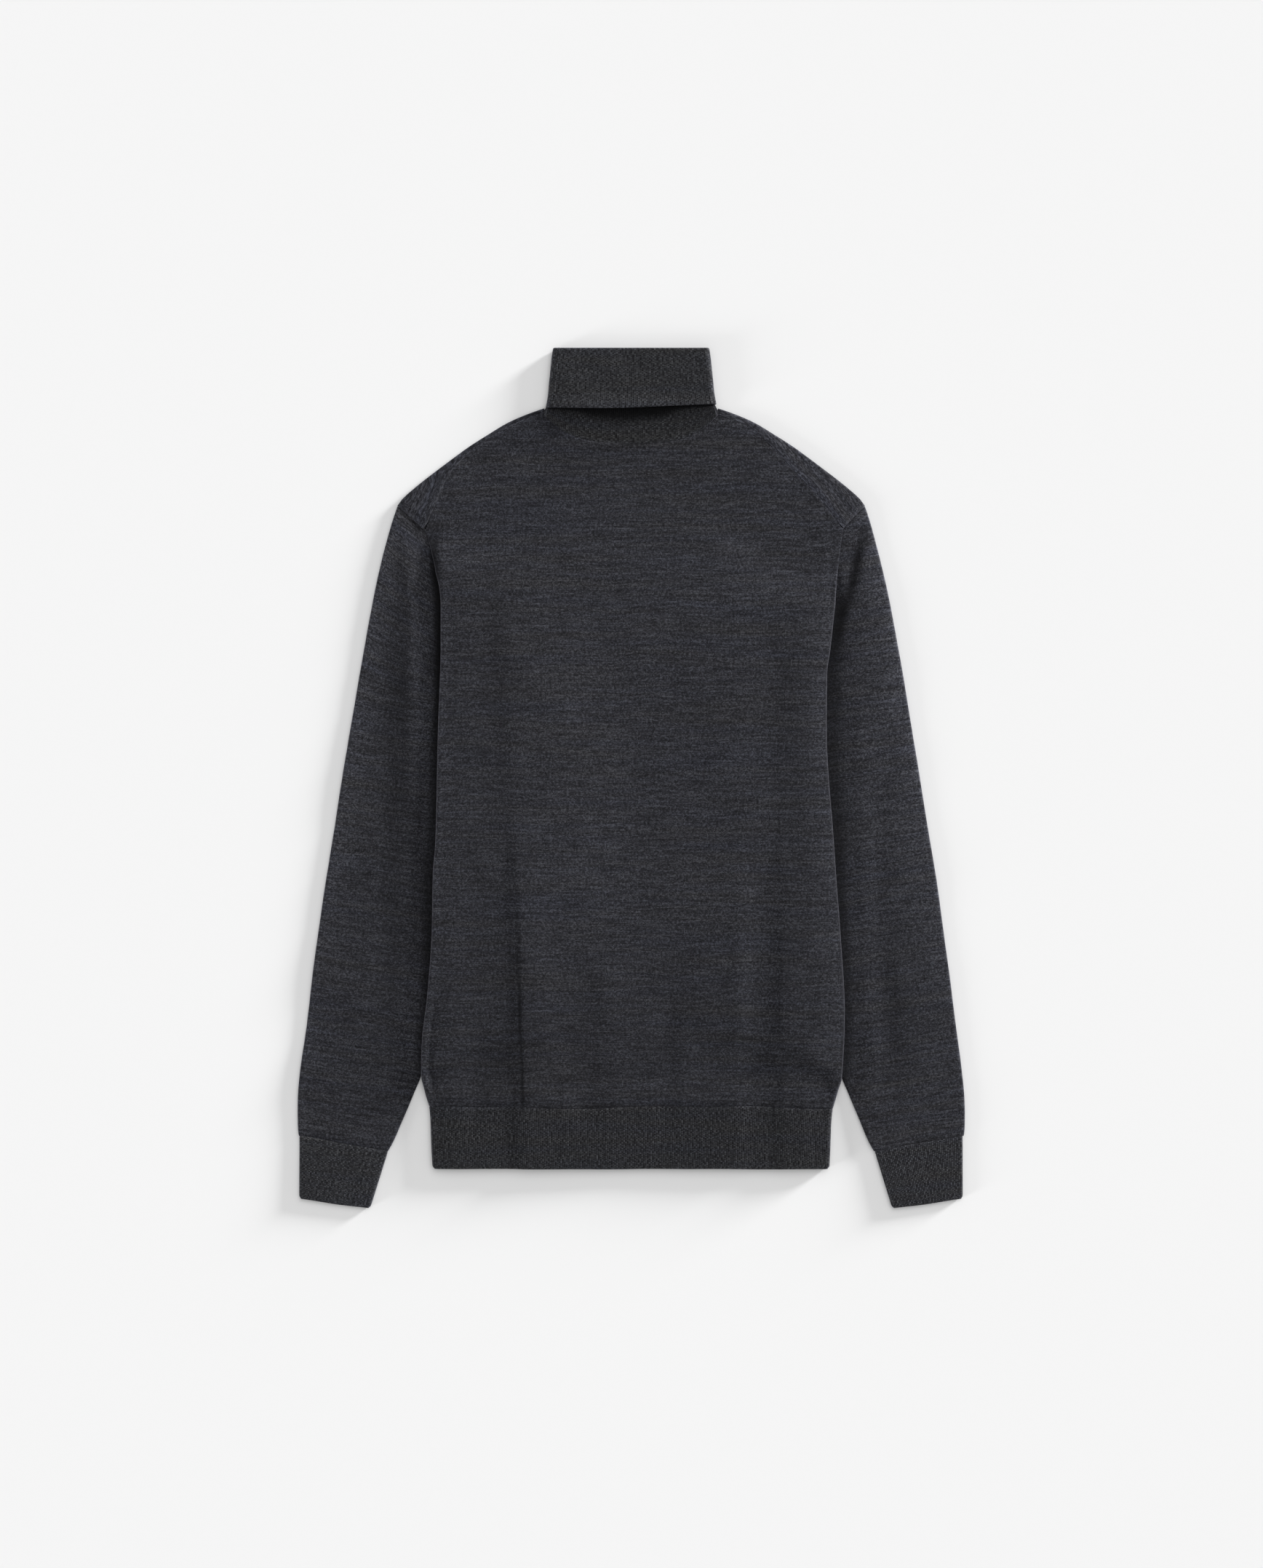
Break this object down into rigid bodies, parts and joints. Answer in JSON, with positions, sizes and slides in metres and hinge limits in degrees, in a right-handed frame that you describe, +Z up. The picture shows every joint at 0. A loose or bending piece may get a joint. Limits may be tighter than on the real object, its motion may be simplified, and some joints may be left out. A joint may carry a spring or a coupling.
{
  "type": "turtleneck sweater",
  "caption": "Fine-gauge turtleneck sweater laid flat on its front, back uppermost: sides folded under, sleeves beside the body, collar turned down.",
  "frame": {"origin": "on the surface the sweater lies on, under the middle of its outline", "axes": "+X to the right seen from above, +Y from the hem to the collar, +Z up from the surface"},
  "size_m": [0.611, 0.7882, 0.0097],
  "materials": {
    "plain_knit": "charcoal melange jersey, matt",
    "rib_knit": "charcoal melange 1x1 rib, matt"
  },
  "bodies": {
    "root": {"front": "plain_knit", "back": "plain_knit", "sleeve_left": "plain_knit", "sleeve_right": "plain_knit", "hem_front": "rib_knit", "hem_back": "rib_knit", "cuff_left": "rib_knit", "cuff_right": "rib_knit", "collar": "rib_knit"}
  },
  "joints": []
}
